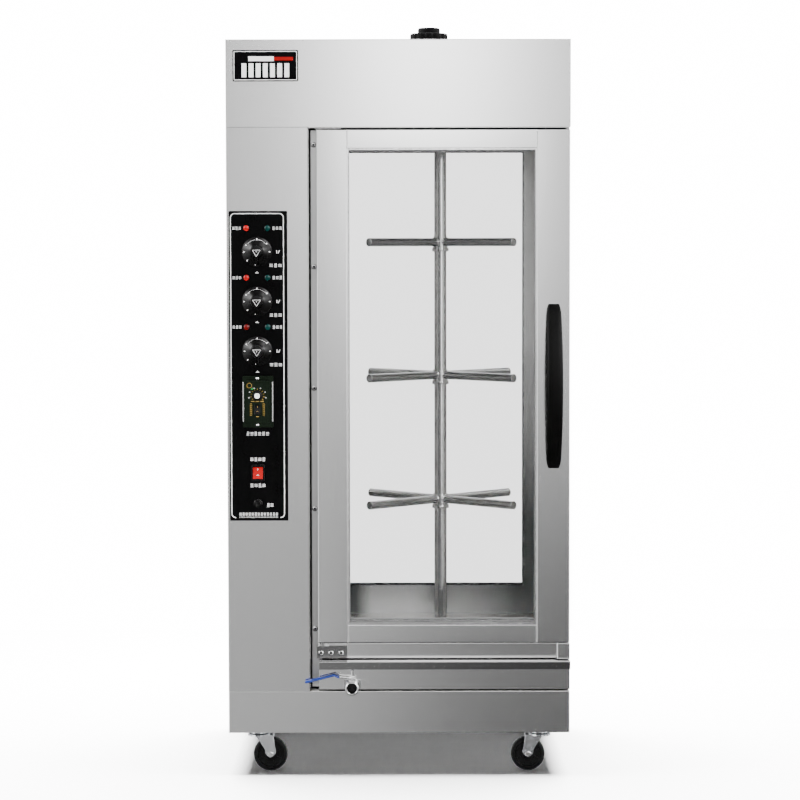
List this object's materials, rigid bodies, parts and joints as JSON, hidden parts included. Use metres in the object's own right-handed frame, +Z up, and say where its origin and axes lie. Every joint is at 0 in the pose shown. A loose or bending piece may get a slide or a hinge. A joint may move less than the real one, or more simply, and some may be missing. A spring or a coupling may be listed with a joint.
{
  "type": "rotisserie oven",
  "caption": "Upright electric rotisserie oven on casters: glazed door, vertical spit with crossed arms, side control column, drip tray with drain valve and roof vent.",
  "frame": {"origin": "centre of the footprint on the floor", "axes": "+X to the viewer's right, +Y from the door to the rear, +Z up"},
  "size_m": [0.8, 0.726, 1.7575],
  "materials": {
    "steel_shell": "brushed stainless sheet, grain across",
    "steel_cavity": "stainless sheet, slightly heat tinted",
    "bright_steel": "polished stainless",
    "zinc": "bright zinc plate",
    "wheel_black": "black moulded wheel",
    "insulation_wool": "mineral wool board",
    "heater_sheath": "oxidised heater sheath",
    "motor_grey": "grey enamel",
    "panel_black": "black printed panel",
    "nameplate_black": "black plate with a silver border",
    "knob_black": "glossy black moulding",
    "knob_white": "white moulding",
    "lamp_red": "red lamp lens",
    "lamp_green": "dark green lamp lens",
    "switch_red": "red rocker",
    "controller_green": "dark green moulding",
    "plastic_grey": "dark moulding",
    "vent_black": "black enamel",
    "glass_clear": "clear toughened glass",
    "seal_rubber": "silicone rubber",
    "handle_black": "black satin moulding",
    "sleeve_blue": "blue dipped vinyl"
  },
  "bodies": {
    "cabinet": {"base_plinth": "steel_shell", "column_front_panel": "steel_shell", "left_side_panel": "steel_shell", "right_side_panel": "steel_shell", "head_front_panel": "steel_shell", "top_panel": "steel_shell", "rear_panel": "steel_shell", "front_frame": "steel_shell", "lower_fascia": "steel_shell", "base_deck": "steel_shell", "head_floor": "steel_shell", "rear_window_frame": "steel_shell", "cavity_walls": "steel_cavity", "cavity_floor": "steel_cavity", "heater_guard": "steel_cavity", "hinge_brackets": "bright_steel", "frame_screws": "bright_steel", "spit_bearings": "bright_steel", "caster_plates": "zinc", "insulation": "insulation_wool", "heater_elements": "heater_sheath", "gear_motor": "motor_grey", "control_panel": "panel_black", "nameplate": "nameplate_black", "power_lamps": "lamp_red", "working_lamps": "lamp_green", "speed_controller": "controller_green", "thermostats": "plastic_grey", "fan_frame": "plastic_grey", "cable_gland": "plastic_grey", "vent_collar": "vent_black", "rear_glass": "glass_clear"},
    "front_door": {"door_stiles": "steel_shell", "door_rails": "steel_shell", "door_glass": "glass_clear", "door_seal": "seal_rubber", "door_handle": "handle_black"},
    "spit_rotor": {"spit_shaft": "bright_steel", "spit_crosses": "bright_steel"},
    "tray_drawer": {"drip_tray": "steel_shell", "drain_valve": "bright_steel"},
    "drain_lever": {"valve_lever": "bright_steel", "lever_sleeve": "sleeve_blue"},
    "knob_top": {"thermostat_knob_top": "knob_black"},
    "knob_middle": {"thermostat_knob_middle": "knob_black"},
    "knob_bottom": {"thermostat_knob_bottom": "knob_black"},
    "speed_dial": {"speed_knob": "knob_white"},
    "speed_rocker": {"speed_switch": "knob_black"},
    "motor_rocker": {"motor_switch": "switch_red"},
    "reset": {"reset_button": "knob_black"},
    "vent_cap": {"vent_knob": "knob_black"},
    "fan_rotor": {"fan_impeller": "plastic_grey"},
    "caster_front_left": {"caster_fork_front_left": "zinc"},
    "wheel_front_left": {"caster_wheel_front_left": "wheel_black"},
    "caster_front_right": {"caster_fork_front_right": "zinc"},
    "wheel_front_right": {"caster_wheel_front_right": "wheel_black"},
    "caster_rear_left": {"caster_fork_rear_left": "zinc"},
    "wheel_rear_left": {"caster_wheel_rear_left": "wheel_black"},
    "caster_rear_right": {"caster_fork_rear_right": "zinc"},
    "wheel_rear_right": {"caster_wheel_rear_right": "wheel_black"}
  },
  "joints": [
    {"name": "door_hinge", "type": "hinge", "parent": "cabinet", "child": "front_door", "pos_m": [-0.18, -0.283, 0.9], "axis": [0, 0, -1], "range_deg": [0, 110]},
    {"name": "spit_spin", "type": "hinge", "parent": "cabinet", "child": "spit_rotor", "pos_m": [0.102, 0.021, 0.9], "axis": [0, 0, 1], "continuous": true},
    {"name": "tray_slide", "type": "slide", "parent": "cabinet", "child": "tray_drawer", "axis": [0, -1, 0], "range_m": [0, 0.42]},
    {"name": "drain_lever_turn", "type": "hinge", "parent": "tray_drawer", "child": "drain_lever", "pos_m": [-0.11, -0.311, 0.23], "axis": [0, 0, 1], "range_deg": [0, 90]},
    {"name": "thermostat_top_turn", "type": "hinge", "parent": "cabinet", "child": "knob_top", "pos_m": [-0.3285, -0.299, 1.2293], "axis": [0, 1, 0], "range_deg": [0, 270]},
    {"name": "thermostat_middle_turn", "type": "hinge", "parent": "cabinet", "child": "knob_middle", "pos_m": [-0.3285, -0.299, 1.1141], "axis": [0, 1, 0], "range_deg": [0, 270]},
    {"name": "thermostat_bottom_turn", "type": "hinge", "parent": "cabinet", "child": "knob_bottom", "pos_m": [-0.3285, -0.299, 0.9986], "axis": [0, 1, 0], "range_deg": [0, 270]},
    {"name": "speed_turn", "type": "hinge", "parent": "cabinet", "child": "speed_dial", "pos_m": [-0.3285, -0.308, 0.8953], "axis": [0, 1, 0], "range_deg": [0, 270]},
    {"name": "speed_switch_rock", "type": "hinge", "parent": "cabinet", "child": "speed_rocker", "pos_m": [-0.3285, -0.3085, 0.863], "axis": [1, 0, 0], "range_deg": [0, 23]},
    {"name": "motor_switch_rock", "type": "hinge", "parent": "cabinet", "child": "motor_rocker", "pos_m": [-0.3285, -0.3025, 0.715], "axis": [1, 0, 0], "range_deg": [0, 18]},
    {"name": "reset_press", "type": "slide", "parent": "cabinet", "child": "reset", "axis": [0, 1, 0], "range_m": [0, 0.003], "stiffness_N_per_m": 400},
    {"name": "vent_turn", "type": "hinge", "parent": "cabinet", "child": "vent_cap", "pos_m": [0.073, -0.137, 1.74], "axis": [0, 0, 1], "range_deg": [0, 90]},
    {"name": "fan_spin", "type": "hinge", "parent": "cabinet", "child": "fan_rotor", "pos_m": [-0.304, 0.323, 1.35], "axis": [0, 1, 0], "continuous": true},
    {"name": "swivel_front_left", "type": "hinge", "parent": "cabinet", "child": "caster_front_left", "pos_m": [-0.333, -0.222, 0.09], "axis": [0, 0, 1], "continuous": true},
    {"name": "roll_front_left", "type": "hinge", "parent": "caster_front_left", "child": "wheel_front_left", "pos_m": [-0.305, -0.222, 0.04], "axis": [0, 1, 0], "continuous": true},
    {"name": "swivel_front_right", "type": "hinge", "parent": "cabinet", "child": "caster_front_right", "pos_m": [0.333, -0.222, 0.09], "axis": [0, 0, 1], "continuous": true},
    {"name": "roll_front_right", "type": "hinge", "parent": "caster_front_right", "child": "wheel_front_right", "pos_m": [0.305, -0.222, 0.04], "axis": [0, 1, 0], "continuous": true},
    {"name": "swivel_rear_left", "type": "hinge", "parent": "cabinet", "child": "caster_rear_left", "pos_m": [-0.333, 0.268, 0.09], "axis": [0, 0, 1], "continuous": true},
    {"name": "roll_rear_left", "type": "hinge", "parent": "caster_rear_left", "child": "wheel_rear_left", "pos_m": [-0.305, 0.268, 0.04], "axis": [0, 1, 0], "continuous": true},
    {"name": "swivel_rear_right", "type": "hinge", "parent": "cabinet", "child": "caster_rear_right", "pos_m": [0.333, 0.268, 0.09], "axis": [0, 0, 1], "continuous": true},
    {"name": "roll_rear_right", "type": "hinge", "parent": "caster_rear_right", "child": "wheel_rear_right", "pos_m": [0.305, 0.268, 0.04], "axis": [0, 1, 0], "continuous": true}
  ]
}
